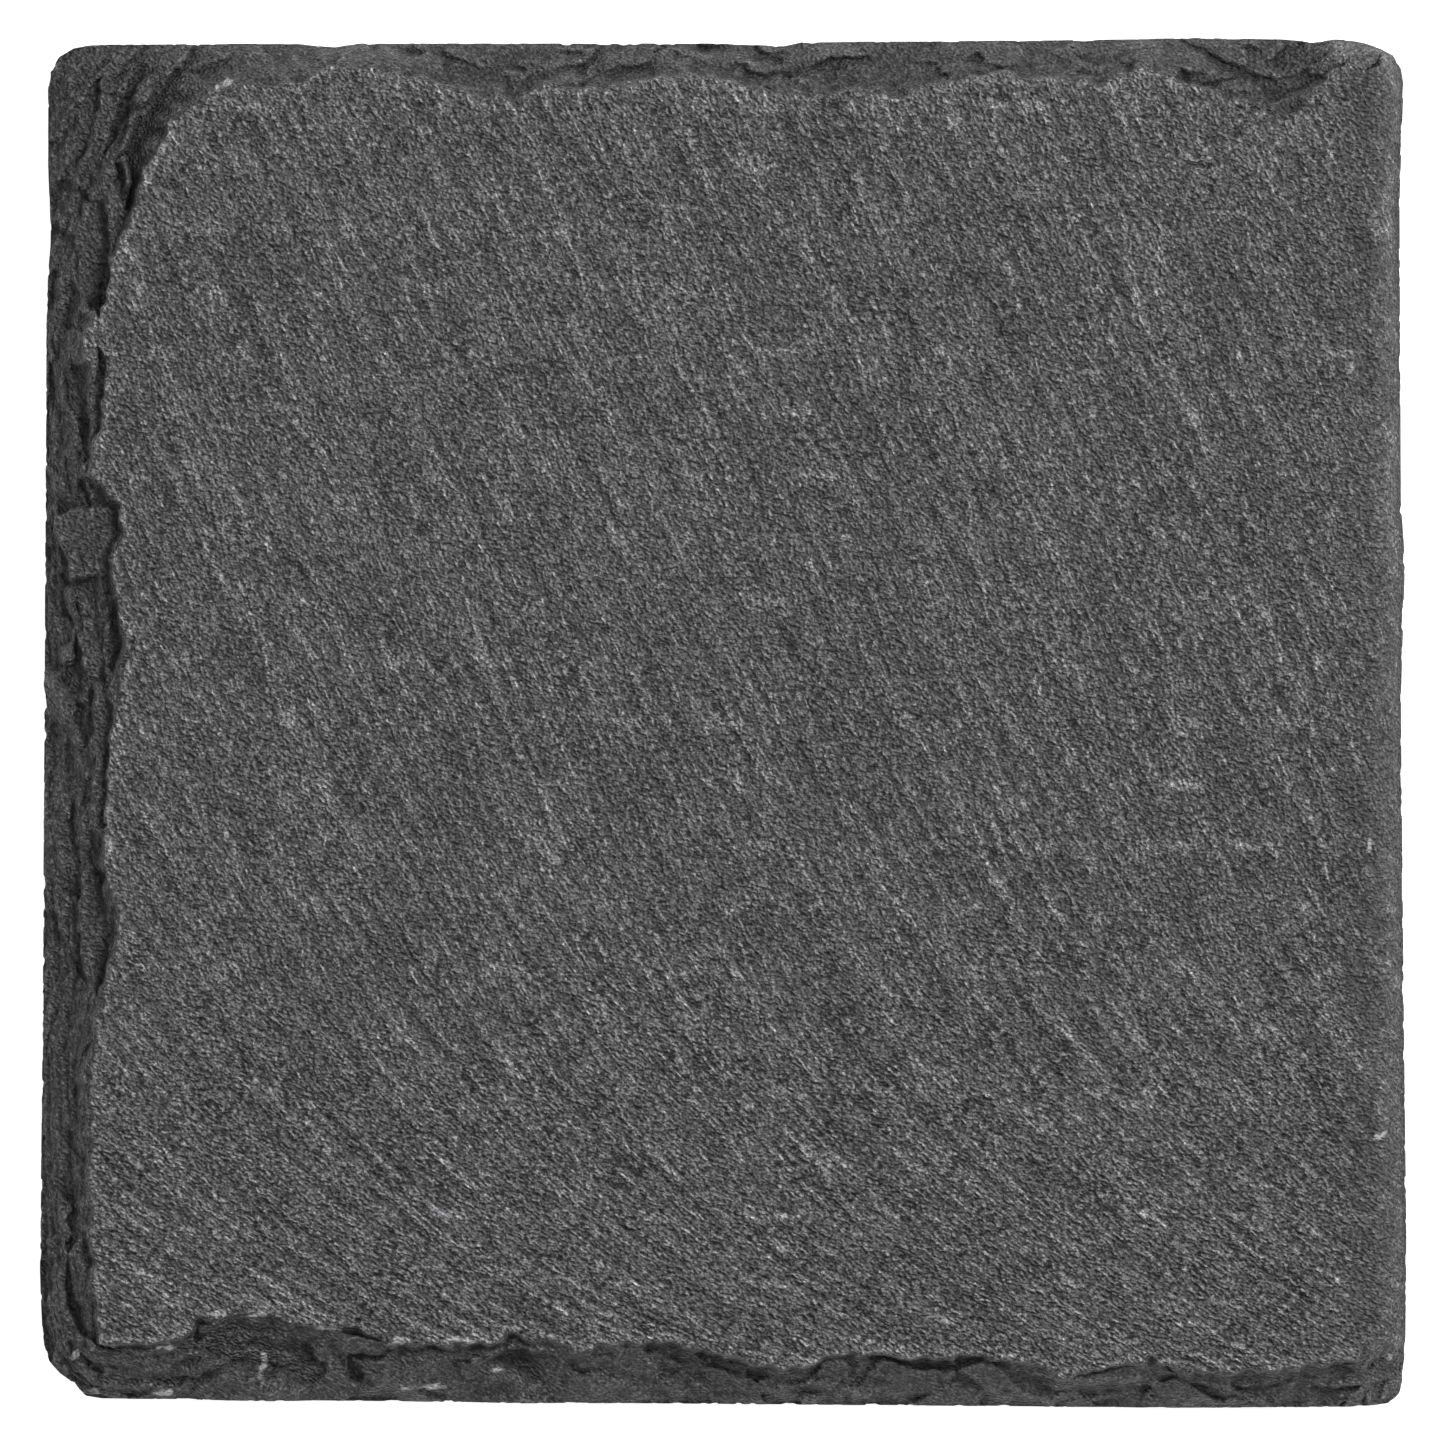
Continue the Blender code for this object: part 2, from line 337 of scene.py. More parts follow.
# Places where one thin layer of the face ends: the drop, how far it reaches, and a line with the low
# side on its right.
FACE_STEPS = (
    (0.16, 2.2, ((-36.9, -35.6), (-33.2, -35.6), (-30.5, -36.7), (-28.6, -38.2), (-26.8, -40.1))),
    (0.14, 1.8, ((-34.3, -37.9), (-31.5, -38.8), (-26.8, -41.2))),
    (0.12, 1.4, ((-38.4, -33.9), (-36.1, -33.4))),
    (0.18, 1.6, ((45.4, 4.2), (43.2, 0.6), (42.6, -1.6), (43.6, -4.6))),
    (0.16, 2.0, ((47.0, -10.5), (45.4, -12.0), (43.2, -14.8))),
    (0.16, 1.4, ((40.5, -18.3), (42.4, -17.4), (44.3, -16.7))),
    (0.14, 2.0, ((-44.4, 27.3), (-44.8, 25.2), (-45.2, 23.6))),
    (0.20, 1.6, ((37.4, 44.2), (40.2, 45.8), (43.0, 48.0))),
    (0.14, 1.6, ((34.8, 42.7), (36.9, 42.9), (38.0, 44.0))),
)

# Chalky bruises that the hammer left: half their width and their line.
BRUISES = (
    (0.26, ((-47.6, -46.4), (-47.1, -46.0))),
    (0.26, ((-46.0, -45.8), (-45.3, -44.8))),
    (0.22, ((-41.2, -45.6), (-40.2, -45.7))),
    (0.30, ((-41.7, -49.1), (-40.5, -49.0))),
    (0.24, ((-46.0, -49.0), (-45.6, -49.2))),
    (0.20, ((-37.4, -43.1), (-36.3, -43.1))),
    (0.20, ((-35.2, -43.4), (-33.5, -43.2))),
    (0.24, ((-33.5, -46.2), (-33.8, -47.8))),
    (0.18, ((-29.4, -44.2), (-28.0, -44.2))),
    (0.24, ((-24.0, -45.2), (-23.3, -45.2))),
    (0.24, ((-19.3, -45.1), (-18.0, -45.2))),
    (0.20, ((-23.5, -48.7), (-20.3, -48.6))),
    (0.20, ((-16.8, -47.4), (-15.2, -47.1))),
    (0.30, ((-36.8, 46.4), (-35.4, 47.0))),
    (0.26, ((47.1, -8.4), (47.3, -9.3))),
    (0.22, ((46.9, -24.0), (47.4, -25.2))),
    (0.22, ((47.7, -30.3), (48.3, -29.9))),
    (0.24, ((45.6, 26.2), (45.8, 25.6))),
    (0.28, ((48.5, -46.3), (49.0, -46.7))),
)

# Cracks: their depth and their line.
CRACKS = (
    (0.25, ((-44.1, 12.1), (-43.5, 10.6), (-43.2, 8.9))),
    (0.30, ((-42.9, 6.2), (-43.1, 5.0), (-43.5, 4.1))),
    (0.18, ((-41.6, 2.8), (-40.2, 3.2), (-38.4, 2.7))),
    (0.18, ((-47.1, 12.6), (-46.6, 10.9))),
    (0.30, ((40.4, 45.5), (43.0, 46.8), (45.7, 48.5))),
    (0.40, ((47.1, 47.9), (47.9, 48.5))),
    (0.40, ((34.6, 46.7), (36.0, 46.5), (37.4, 47.2))),
    (0.30, ((38.8, 44.8), (40.2, 44.4), (41.5, 44.2))),
    (0.20, ((43.7, 43.4), (44.2, 43.0), (44.8, 43.6))),
    (0.50, ((33.9, 40.8), (34.7, 40.8), (35.5, 40.6))),
    (0.20, ((7.6, 11.9), (8.4, 11.9))),
    (0.20, ((13.6, 40.9), (14.5, 40.8))),
    (0.16, ((-33.0, 41.0), (-31.5, 40.9))),
    (0.16, ((-30.6, 36.6), (-29.4, 36.3), (-28.2, 36.6))),
)

plan_x, plan_y = field_axes(FINE_COUNT)


def cleft_heading(y):
    """The streaks' direction: they lean to the left at the back and lie down towards the front."""
    return np.radians(116.0 + 34.0 * np.clip((2.0 - y) / 45.0, 0.0, 1.1) ** 2)


lane_rows = np.linspace(-FIELD_HALF, FIELD_HALF, 1121)
lane_shifts = np.cumsum(1.0 / np.tan(cleft_heading(lane_rows))) * (lane_rows[1] - lane_rows[0])


def lane(x, y):
    """Which streak a point is on: a place across the streaks that stays the same all along each of them."""
    return x - np.interp(y, lane_rows, lane_shifts)


cleft_angle = cleft_heading(plan_y)

# The layers in the broken edges run along them.
slope_y, slope_x = np.gradient(blurred(np.clip(sample(from_face_edge, plan_x, plan_y), -4.0, 4.0), 2.0))
strata_angle = np.arctan2(slope_x, -slope_y) % math.pi

ripples = steered(cleft_angle, 0.30, 1.2, seed=2)
fine_ripples = steered(cleft_angle, 0.13, 0.34, seed=3)
undulation = cloudy(16.0, seed=4)
patches = cloudy(4.0, seed=5)
strata = steered(strata_angle, 0.42, 3.2, seed=6)
thin_strata = steered(strata_angle, 0.17, 1.6, seed=7)
lumps = cloudy(2.2, seed=8)
grit = cloudy(0.5, seed=9)
ragged_x = cloudy(0.9, seed=10)
ragged_y = cloudy(0.9, seed=11)


class Scar:
    """The hollow that one blow of the hammer left in the broken edge, with a bench part of the way up."""

    def __init__(self, place, along, draw):
        self.place = place
        self.along = along
        self.width = draw.uniform(1.6, 4.0)
        self.lean = draw.uniform(-0.12, 0.12)
        gentle = 0.5 if place[1] > 44.0 else 0.0  # the back edge was struck more softly
        foot = gentle + (1.0 - gentle) * draw.uniform(0.05, 0.20)
        bench = gentle + (1.0 - gentle) * draw.uniform(0.26, 0.64)
        lip = gentle + (1.0 - gentle) * draw.uniform(0.66, 0.94)
        first = draw.uniform(0.12, 0.42)
        last = first + draw.uniform(0.12, 0.36)
        self.shares = (0.0, first, last, 0.90, 1.0)
        self.heights = (foot, bench, bench + 0.05 * (1.0 - gentle), lip, 1.0)

    def lower(self, heights, x, y, share):
        """Cut the heights down to the scar's surface, where it is lower."""
        off_x, off_y = x - self.place[0], y - self.place[1]
        near = off_x**2 + off_y**2 < SCAR_REACH**2
        aside = (off_x[near] * self.along[0] + off_y[near] * self.along[1]) / self.width
        surface = np.interp(share[near], self.shares, self.heights) + self.lean * aside + 0.16 * aside**2
        heights[near] = np.minimum(heights[near], surface)


def hammer_scars():
    draw = np.random.default_rng(12)
    loop = ordered_outline()
    closed = np.vstack([loop, loop[:1]])
    steps = np.diff(closed, axis=0)
    lengths = np.hypot(steps[:, 0], steps[:, 1])
    starts = np.concatenate([[0.0], np.cumsum(lengths)])
    scars = []
    for start in np.arange(0.0, starts[-1], SCAR_SPACING):
        where = (start + draw.uniform(-1.2, 1.2)) % starts[-1]
        side = np.searchsorted(starts, where, side="right") - 1
        along = steps[side] / lengths[side]
        scars.append(Scar(closed[side] + along * (where - starts[side]), along, draw))
    return scars


SCARS = hammer_scars()


def scarred(x, y, share):
    """The broken edge as the scars leave it, without anything smaller."""
    height = np.full(x.shape, 2.0)
    for scar in SCARS:
        scar.lower(height, x, y, share)
    return ROOM * np.minimum(height, 1.0)


def share_up(out, face_off):
    """How far up the broken edge a point is, from 0 at the outline to 1 at the face."""
    beyond = np.maximum(-face_off, 0.0)
    return out / np.maximum(out + beyond, 1e-6)


def mean_edge(share):
    """The broken edge's mean height at a share of the way up."""
    return ROOM * (EDGE_FOOT + EDGE_RISE * share)


def broken_facets():
    """The flat facets that the broken edge is made of: where, which way they run, how high and how tilted."""
    draw = np.random.default_rng(31)
    x, y = draw.uniform(-50.0, 50.0, (2, FACETS * 12))
    out, face_off = sample(from_outline, x, y), sample(from_face_edge, x, y)
    keep = np.flatnonzero((out > -0.3) & (face_off < 0.2))[:FACETS]
    x, y = x[keep], y[keep]
    out, face_off = np.maximum(out[keep], 0.0), face_off[keep]
    width = np.maximum(out + np.maximum(-face_off, 0.0), 1.5)
    level = mean_edge(share_up(out, face_off)) + draw.normal(0.0, 0.24, len(keep))
    heading = sample(strata_angle, x, y) + draw.normal(0.0, 0.25, len(keep))
    rise = EDGE_RISE * ROOM / width * np.clip(1.0 + draw.normal(0.0, 0.45, len(keep)), 0.0, 2.0)
    lean = draw.normal(0.0, 0.20, len(keep))
    inward_x, inward_y = sample(slope_x, x, y), sample(slope_y, x, y)
    size = np.hypot(inward_x, inward_y) + 1e-6
    inward_x, inward_y = inward_x / size, inward_y / size
    tilt_x = rise * inward_x + lean * inward_y
    tilt_y = rise * inward_y - lean * inward_x
    return list(zip(x, y, heading, level, tilt_x, tilt_y))


FACET_LIST = broken_facets()


def faceted(x, y):
    """The facets' heights: each point takes that of the facet it lies nearest to, along the layers."""
    nearest = np.full(x.shape, np.inf)
    height = np.full(x.shape, ROOM)
    for facet_x, facet_y, heading, level, tilt_x, tilt_y in FACET_LIST:
        off_x, off_y = x - facet_x, y - facet_y
        near = np.flatnonzero(np.abs(off_x) + np.abs(off_y) < FACET_REACH)
        off_x, off_y = off_x[near], off_y[near]
        lengthwise = (off_x * math.cos(heading) + off_y * math.sin(heading)) / FACET_LENGTH
        sideways = off_y * math.cos(heading) - off_x * math.sin(heading)
        off = lengthwise**2 + sideways**2
        closer = off < nearest[near]
        chosen = near[closer]
        nearest[chosen] = off[closer]
        height[chosen] = level + (tilt_x * off_x + tilt_y * off_y)[closer]
    return height


def terraced(height, layer, riser):
    """Heights gathered into layers of that thickness, whose risers take up a share of each."""
    level = height / layer
    whole = np.floor(level)
    return (whole + smooth(level - whole, 0.5 - riser / 2, 0.5 + riser / 2)) * layer


def worn_rise(share):
    """How high the worn edge stands, from 0 at the outline to 1 at the face."""
    return 1.0 - 0.38 * (1.0 - share) ** 2.4


def face_relief(x, y):
    """The cleft face: long streaks and short ripples, which end in thin scales."""
    streak, ramp = lane(x, y), 0.06 * y
    calm = 1.0 - 0.7 * smooth(x, 43.0, 47.5)
    height = 0.034 * sample(patches, 2.5 * streak, 0.30 * y)
    height += 0.022 * sample(ragged_x, 1.8 * streak, 0.35 * y)
    height += 0.030 * sample(ripples, x, y) + 0.034 * sample(fine_ripples, x, y)
    scaly = terraced(height + ramp, 0.085, 0.25) - ramp
    height = 0.55 * height + 0.45 * scaly
    return ROOM + calm * height + 0.045 * sample(undulation, x, y) + 0.020 * sample(patches, x, y)


def broken_relief(x, y, share):
    """The broken edge: scars and flat facets, cut into layers."""
    bent_x = x + 0.11 * sample(ragged_x, y, x) + 0.03 * sample(grit, x, y)
    bent_y = y + 0.11 * sample(ragged_y, y, x) + 0.03 * sample(grit, y, x)
    scar_share = 0.35 + 0.55 * smooth(share, 0.84, 0.96)
    middle = mean_edge(share)
    facets = np.clip(faceted(bent_x, bent_y), middle - EDGE_SPREAD, middle + EDGE_SPREAD)
    height = scar_share * scarred(x, y, share) + (1.0 - scar_share) * facets
    window = smooth(share, 0.0, 0.10) * (1.0 - smooth(share, 0.90, 1.0))
    layering = 0.10 + 0.42 * smooth(-x, 40.0, 44.0)
    rough = 0.03 * sample(patches, x, y) + layering * 0.16 * sample(strata, x, y)
    height += window * (rough + layering * 0.08 * sample(thin_strata, x, y))
    tilt = 0.22 * sample(patches, x, y)
    height += layering * (terraced(height + tilt, 0.50, 0.16) - tilt - height)
    return height + 0.014 * sample(grit, x, y)


def add_ledge(height, x, y, depth, rough, corners):
    edges = np.array([corners, corners[1:] + corners[:1]], float).transpose(1, 0, 2)
    near = distance_to(edges, x, y) * np.where(inside(edges, x, y), 1.0, -1.0)
    flat = ROOM - depth + rough * sample(lumps, x, y) + 0.03 * sample(fine_ripples, x, y)
    share = smooth(near, -0.05, 0.12)
    return height * (1.0 - share) + flat * share


def add_riser(height, x, y, top_depth, foot_depth, top, foot):
    corners = top + foot[::-1]
    rim = np.array([corners, corners[1:] + corners[:1]], float).transpose(1, 0, 2)
    near = distance_to(rim, x, y) * np.where(inside(rim, x, y), 1.0, -1.0)
    to_top = distance_to(np.array([top[:-1], top[1:]]).transpose(1, 0, 2), x, y)
    to_foot = distance_to(np.array([foot[:-1], foot[1:]]).transpose(1, 0, 2), x, y)
    down = to_top / np.maximum(to_top + to_foot, 1e-6)
    steep = ROOM - top_depth - (foot_depth - top_depth) * down + 0.05 * sample(ragged_x, x, y)
    share = smooth(near, -0.06, 0.06)
    return height * (1.0 - share) + steep * share


def add_rib(height, x, y, depth, half_width, crest):
    edges = np.array([crest[:-1], crest[1:]]).transpose(1, 0, 2)
    off = distance_to(edges, x, y) / half_width
    rib = ROOM - depth - 1.1 * off + 0.16 * sample(strata, x, y) + 0.05 * sample(grit, x, y)
    return np.maximum(height, rib)


def add_face_step(height, x, y, drop, reach, line):
    edges = np.array([line[:-1], line[1:]]).transpose(1, 0, 2)
    off = distance_to(edges, x, y)
    return height - drop * np.exp(-off / reach) * smooth(-side_of(edges, x, y) * off, -0.04, 0.12)


def add_crack(height, x, y, depth, line):
    edges = np.array([line[:-1], line[1:]]).transpose(1, 0, 2)
    return height - depth * np.exp(-(distance_to(edges, x, y) / CRACK_HALF_WIDTH) ** 2)


def add_features(height, x, y):
    """Put in what stands out by itself: risers, ledges, ribs, steps and cracks."""
    wander_x = x + 0.10 * sample(ragged_x, x, y)
    wander_y = y + 0.10 * sample(ragged_y, x, y)
    kinds = (
        (add_riser, RISERS),
        (add_ledge, LEDGES),
        (add_rib, RIBS),
        (add_face_step, FACE_STEPS),
        (add_crack, CRACKS),
    )
    for add, features in kinds:
        for feature in features:
            line = feature[-1]
            low = np.min(line, axis=0) - FEATURE_REACH
            high = np.max(line, axis=0) + FEATURE_REACH
            near = (x > low[0]) & (x < high[0]) & (y > low[1]) & (y < high[1])
            height[near] = add(height[near], wander_x[near], wander_y[near], *feature)
    return height


def relief(x, y):
    """The height above the stone's back at points of its plan, and what kind of surface each is on."""
    bent_x = x + 0.13 * sample(ragged_x, x, y)
    bent_y = y + 0.13 * sample(ragged_y, x, y)
    out = np.maximum(sample(from_outline, x, y), 0.0)
    face_off = sample(from_face_edge, bent_x, bent_y)
    share = share_up(out, face_off)
    worn = smooth(x, WORN_FROM - 3.0, WORN_FROM - 0.5) * (1.0 - smooth(-y, 44.5, 47.5))

    face = face_relief(x, y)
    edge = face.copy()
    near = face_off < 0.1
    broken = broken_relief(x[near], y[near], share[near])
    rounded = face[near] - ROOM * (1.0 - worn_rise(share[near])) + 0.02 * sample(strata, x[near], y[near])
    edge[near] = worn[near] * rounded + (1.0 - worn[near]) * np.minimum(broken, face[near] + 0.05)

    on_edge = smooth(-face_off, -0.05, 0.05)
    height = face * (1.0 - on_edge) + edge * on_edge
    height = np.clip(add_features(height, x, y), 0.5, THICKNESS)
    return height, on_edge * (1.0 - worn), smooth(x, WORN_FROM - 2.0, WORN_FROM + 2.0)


def bruised(x, y):
    """1 where the stone is crushed to chalky powder."""
    most = np.zeros(x.shape)
    for half_width, line in BRUISES:
        near = np.hypot(x - line[0][0], y - line[0][1]) < FEATURE_REACH
        off = distance_to([np.array(line)], x[near], y[near]) / half_width
        grainy = 0.35 * sample(grit, x[near], y[near]) + 0.25 * sample(ragged_x, x[near], y[near])
        most[near] = np.maximum(most[near], smooth(1.0 - off + grainy, 0.3, 0.6))
    return most


plan_relief, plan_broken = relief(plan_x, plan_y)[:2]
# How far each place stands above its surroundings, or sinks below them; the slate's colour takes painted
# shade in hollows and a painted highlight on crests from it.
stands_out = (plan_relief - blurred(plan_relief, 0.40)) / (0.08 + 0.09 * plan_broken)
stands_out = np.clip(stands_out, -1.5, 1.5)


# ---------------------------------------------------------------- the stone's mesh

SIDE_SPACING = 0.12  # between grid lines near the slab's sides
MIDDLE_SPACING = 0.20
CLOSE_LINES = 8.0  # how far in the lines stay close
WALL_ROWS = 20
BACK_STEP = 5  # the back has one grid line for this many of the face's
TUCK = 0.4  # how far the wall's foot stands back


def grid_line_places(length):
    """Places from 0 to 1 along a side, closer together near its ends."""
    steps = np.linspace(0.0, length, 2001)
    near = np.minimum(steps, length - steps)
    opening = smooth(near, 0.6 * CLOSE_LINES, 1.6 * CLOSE_LINES)
    spacing = SIDE_SPACING + (MIDDLE_SPACING - SIDE_SPACING) * opening
    lines = np.concatenate([[0.0], np.cumsum((steps[1:] - steps[:-1]) / spacing[1:])])
    count = BACK_STEP * round(lines[-1] / BACK_STEP)
    return np.interp(np.linspace(0.0, lines[-1], count + 1), lines, steps / length)


def side_curves():
    """The outline cut at its corners into front, right, back and left, as functions of a share."""
    loop = ordered_outline()
    closed = np.vstack([loop, loop[:1]])
    starts = np.concatenate([[0.0], np.cumsum(np.hypot(*np.diff(closed, axis=0).T))])
    perimeter = starts[-1]
    corners = []
    for sign_x, sign_y in ((-1, -1), (1, -1), (1, 1), (-1, 1)):
        reach = loop @ np.array([sign_x, sign_y])
        corners.append(starts[np.argmax(reach)])

    def curve(first, last):
        def at(shares):
            length = (last - first) % perimeter
            place = (first + shares * length) % perimeter
            return np.stack([np.interp(place, starts, closed[:, axis]) for axis in (0, 1)], -1)

        return at

    front_left, front_right, back_right, back_left = corners
    front = curve(front_left, front_right)
    right = curve(front_right, back_right)
    back = curve(back_right, back_left)
    left = curve(back_left, front_left)
    return front, right, lambda shares: back(1.0 - shares), lambda shares: left(1.0 - shares)


def plan_grid(u, v):
    """Points over the slab's plan on curved lines that follow its sides, and how far nicks move them in."""
    front, right, back, left = side_curves()
    low, high, west, east = front(u), back(u), left(v), right(v)
    across, up = u[None, :, None], v[:, None, None]
    grid = (1 - up) * low[None] + up * high[None] + (1 - across) * west[:, None] + across * east[:, None]
    grid -= (1 - across) * (1 - up) * low[0] + across * (1 - up) * low[-1]
    grid -= (1 - across) * up * high[0] + across * up * high[-1]
    x, y = grid[..., 0], grid[..., 1]
    nick = 0.08 * np.clip(1.3 * sample(grit, x, y) + 0.7 * sample(ragged_x, x, y) - 0.4, 0.0, 3.0)
    nick *= np.exp(-np.maximum(sample(from_outline, x, y), 0.0) / 0.5)
    shrink = nick / np.hypot(x, y).clip(1.0)
    return grid * (1.0 - shrink[..., None]), nick


def ring_of(grid):
    """The grid's outermost entries in one loop, anticlockwise from its first."""
    return np.concatenate([grid[0, :-1], grid[:-1, -1], grid[-1, :0:-1], grid[:0:-1, 0]])


def quads_of(index):
    """The quads of a grid of vertex numbers."""
    return np.stack([index[:-1, :-1], index[:-1, 1:], index[1:, 1:], index[1:, :-1]], -1).reshape(-1, 4)


def back_relief(x, y):
    """How far the back's cleft surface stands above its lowest plane."""
    height = 0.16 + 0.05 * sample(undulation, -x, y) + 0.03 * sample(ripples, y, x)
    return np.maximum(height + 0.02 * sample(patches, y, x), 0.0)


def stone_mesh():
    u = grid_line_places(stone_high[0] - stone_low[0])
    v = grid_line_places(stone_high[1] - stone_low[1])
    plan, nick = plan_grid(u, v)
    x, y = plan[..., 0], plan[..., 1]
    height, broken, worn = relief(x, y)
    points = [np.stack([x, y, height], -1).reshape(-1, 3)]
    # how far each point stands out, kept for the painted shade in hollows and the painted highlight on crests
    relief_shade = sample(stands_out, x, y)
    kinds = [np.stack([broken, worn, bruised(x, y), relief_shade, lane(x, y), y], -1).reshape(-1, 6)]
    index = np.arange(x.size).reshape(x.shape)
    faces = [quads_of(index)]

    # The wall runs down from the face's rim to the back, in thin layers, leaning in at its foot.
    rim_index = ring_of(index)
    top = points[0][rim_index]
    top_kind = kinds[0][rim_index]
    rim_nick = nick.reshape(-1)[rim_index]
    along = top[:, 0] + top[:, 1]
    upper = rim_index
    count = len(rim_index)
    inward = -top[:, :2] / np.linalg.norm(top[:, :2], axis=1)[:, None]
    for row in range(1, WALL_ROWS + 1):
        down = row / WALL_ROWS
        level = top[:, 2] * (1.0 - down)
        layer = 0.8 * sample(lumps, 0.4 * along, 3.0 * level) + 0.6 * sample(grit, 0.5 * along, 3.0 * level)
        depth = 0.06 * (1.0 + np.clip(layer, -1.0, 2.0)) * smooth(down, 0.0, 0.15)
        depth += TUCK * smooth(down, 0.5, 1.0) - rim_nick * smooth(down, 0.0, 0.4)
        ring = np.column_stack([top[:, :2] + inward * depth[:, None], level])
        lower = np.arange(count) + sum(len(part) for part in points)
        points.append(ring)
        kinds.append(top_kind + np.outer(top[:, 2] - level, (0.0, 0.0, 0.0, 0.0, 0.0, 1.0)))
        faces.append(np.column_stack([np.roll(upper, -1), upper, lower, np.roll(lower, -1)]))
        upper = lower

    # The back has a coarser grid, set in from the wall's foot and stitched to it.
    plan = plan_grid(u[::BACK_STEP], v[::BACK_STEP])[0]
    plan *= 1.0 - (TUCK + 0.5) / stone_high[0]
    x, y = plan[..., 0], plan[..., 1]
    first = sum(len(part) for part in points)
    points.append(np.stack([x, y, back_relief(x, y)], -1).reshape(-1, 3))
    plain = np.zeros(x.shape)
    kinds.append(np.stack([plain, plain, plain, plain, lane(x, y), y], -1).reshape(-1, 6))
    index = np.arange(x.size).reshape(x.shape) + first
    faces.append(quads_of(index)[:, ::-1])
    inner = ring_of(index)
    inner_next = np.roll(inner, -1)
    outer = upper.reshape(-1, BACK_STEP)
    outer_next = np.roll(upper, -1).reshape(-1, BACK_STEP)
    middle = BACK_STEP // 2
    triangles = []
    for step in range(BACK_STEP):
        near = inner if step <= middle else inner_next
        triangles.append(np.column_stack([outer_next[:, step], outer[:, step], near]))
        if step == middle:
            triangles.append(np.column_stack([outer_next[:, step], inner, inner_next]))
    return np.vstack(points), np.vstack(kinds), np.vstack(faces), np.vstack(triangles)


def make_mesh(name, points, quads, triangles):
    """A smooth-shaded mesh of quads and triangles, from points in metres."""
    mesh = bpy.data.meshes.new(name)
    mesh.vertices.add(len(points))
    mesh.vertices.foreach_set("co", points.ravel())
    corners = np.concatenate([quads.ravel(), triangles.ravel()])
    mesh.loops.add(len(corners))
    mesh.loops.foreach_set("vertex_index", corners)
    sizes = np.concatenate([np.full(len(quads), 4), np.full(len(triangles), 3)])
    mesh.polygons.add(len(sizes))
    mesh.polygons.foreach_set("loop_start", np.concatenate([[0], np.cumsum(sizes)[:-1]]))
    mesh.update(calc_edges=True)
    mesh.validate()
    mesh.shade_smooth()
    return mesh


def add_piece(name, mesh, look, node):
    piece = bpy.data.objects.new(name, mesh)
    mesh.materials.append(look)
    bpy.context.scene.collection.objects.link(piece)
    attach(piece, "root")
    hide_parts(node)


# ---------------------------------------------------------------- materials


